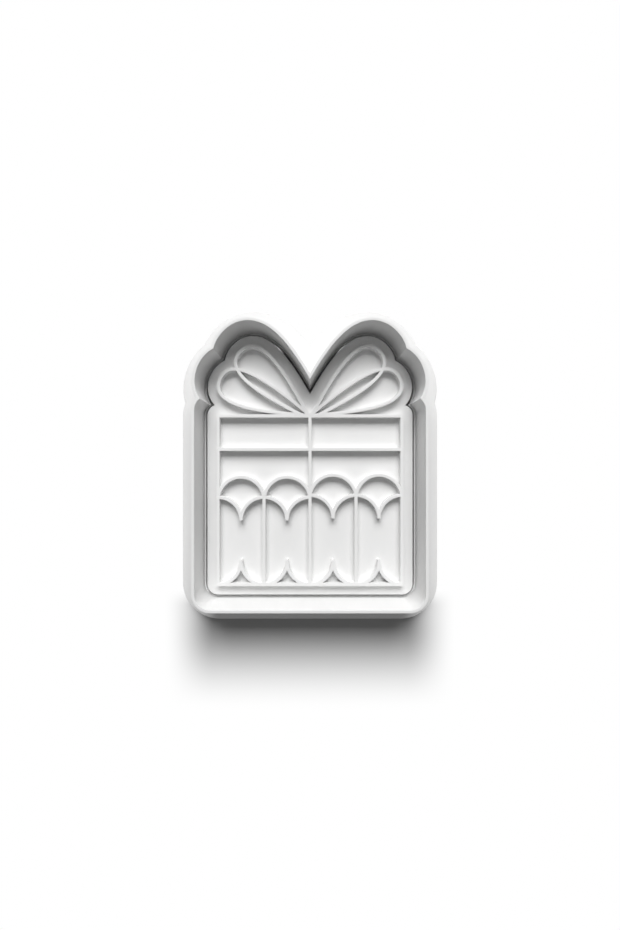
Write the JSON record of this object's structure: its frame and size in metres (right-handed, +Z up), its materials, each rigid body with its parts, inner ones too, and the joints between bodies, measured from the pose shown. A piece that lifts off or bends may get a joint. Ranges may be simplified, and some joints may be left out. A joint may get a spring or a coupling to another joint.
{
  "type": "cookie cutter with stamp",
  "caption": "Gift-box cookie cutter: a thin upright blade on a flat base ring, with a loose embossing stamp inside whose raised bow and scallop lines face up and which lifts out.",
  "frame": {"origin": "on the table, under the middle of the cutter's outline box", "axes": "+Z up from the table towards the cutting edge, +Y from the base of the drawn box to its bow, +X to the right of the drawing seen from above"},
  "size_m": [0.0728, 0.0878, 0.014],
  "materials": {
    "cutter_plastic": "matte white printed plastic",
    "stamp_plastic": "matte white printed plastic"
  },
  "bodies": {
    "cutter": {"outline_cutter": "cutter_plastic"},
    "stamp": {"embossing_stamp": "stamp_plastic"}
  },
  "joints": [
    {"name": "stamp_slide", "type": "slide", "parent": "cutter", "child": "stamp", "axis": [0, 0, 1], "range_m": [0, 0.02]}
  ]
}
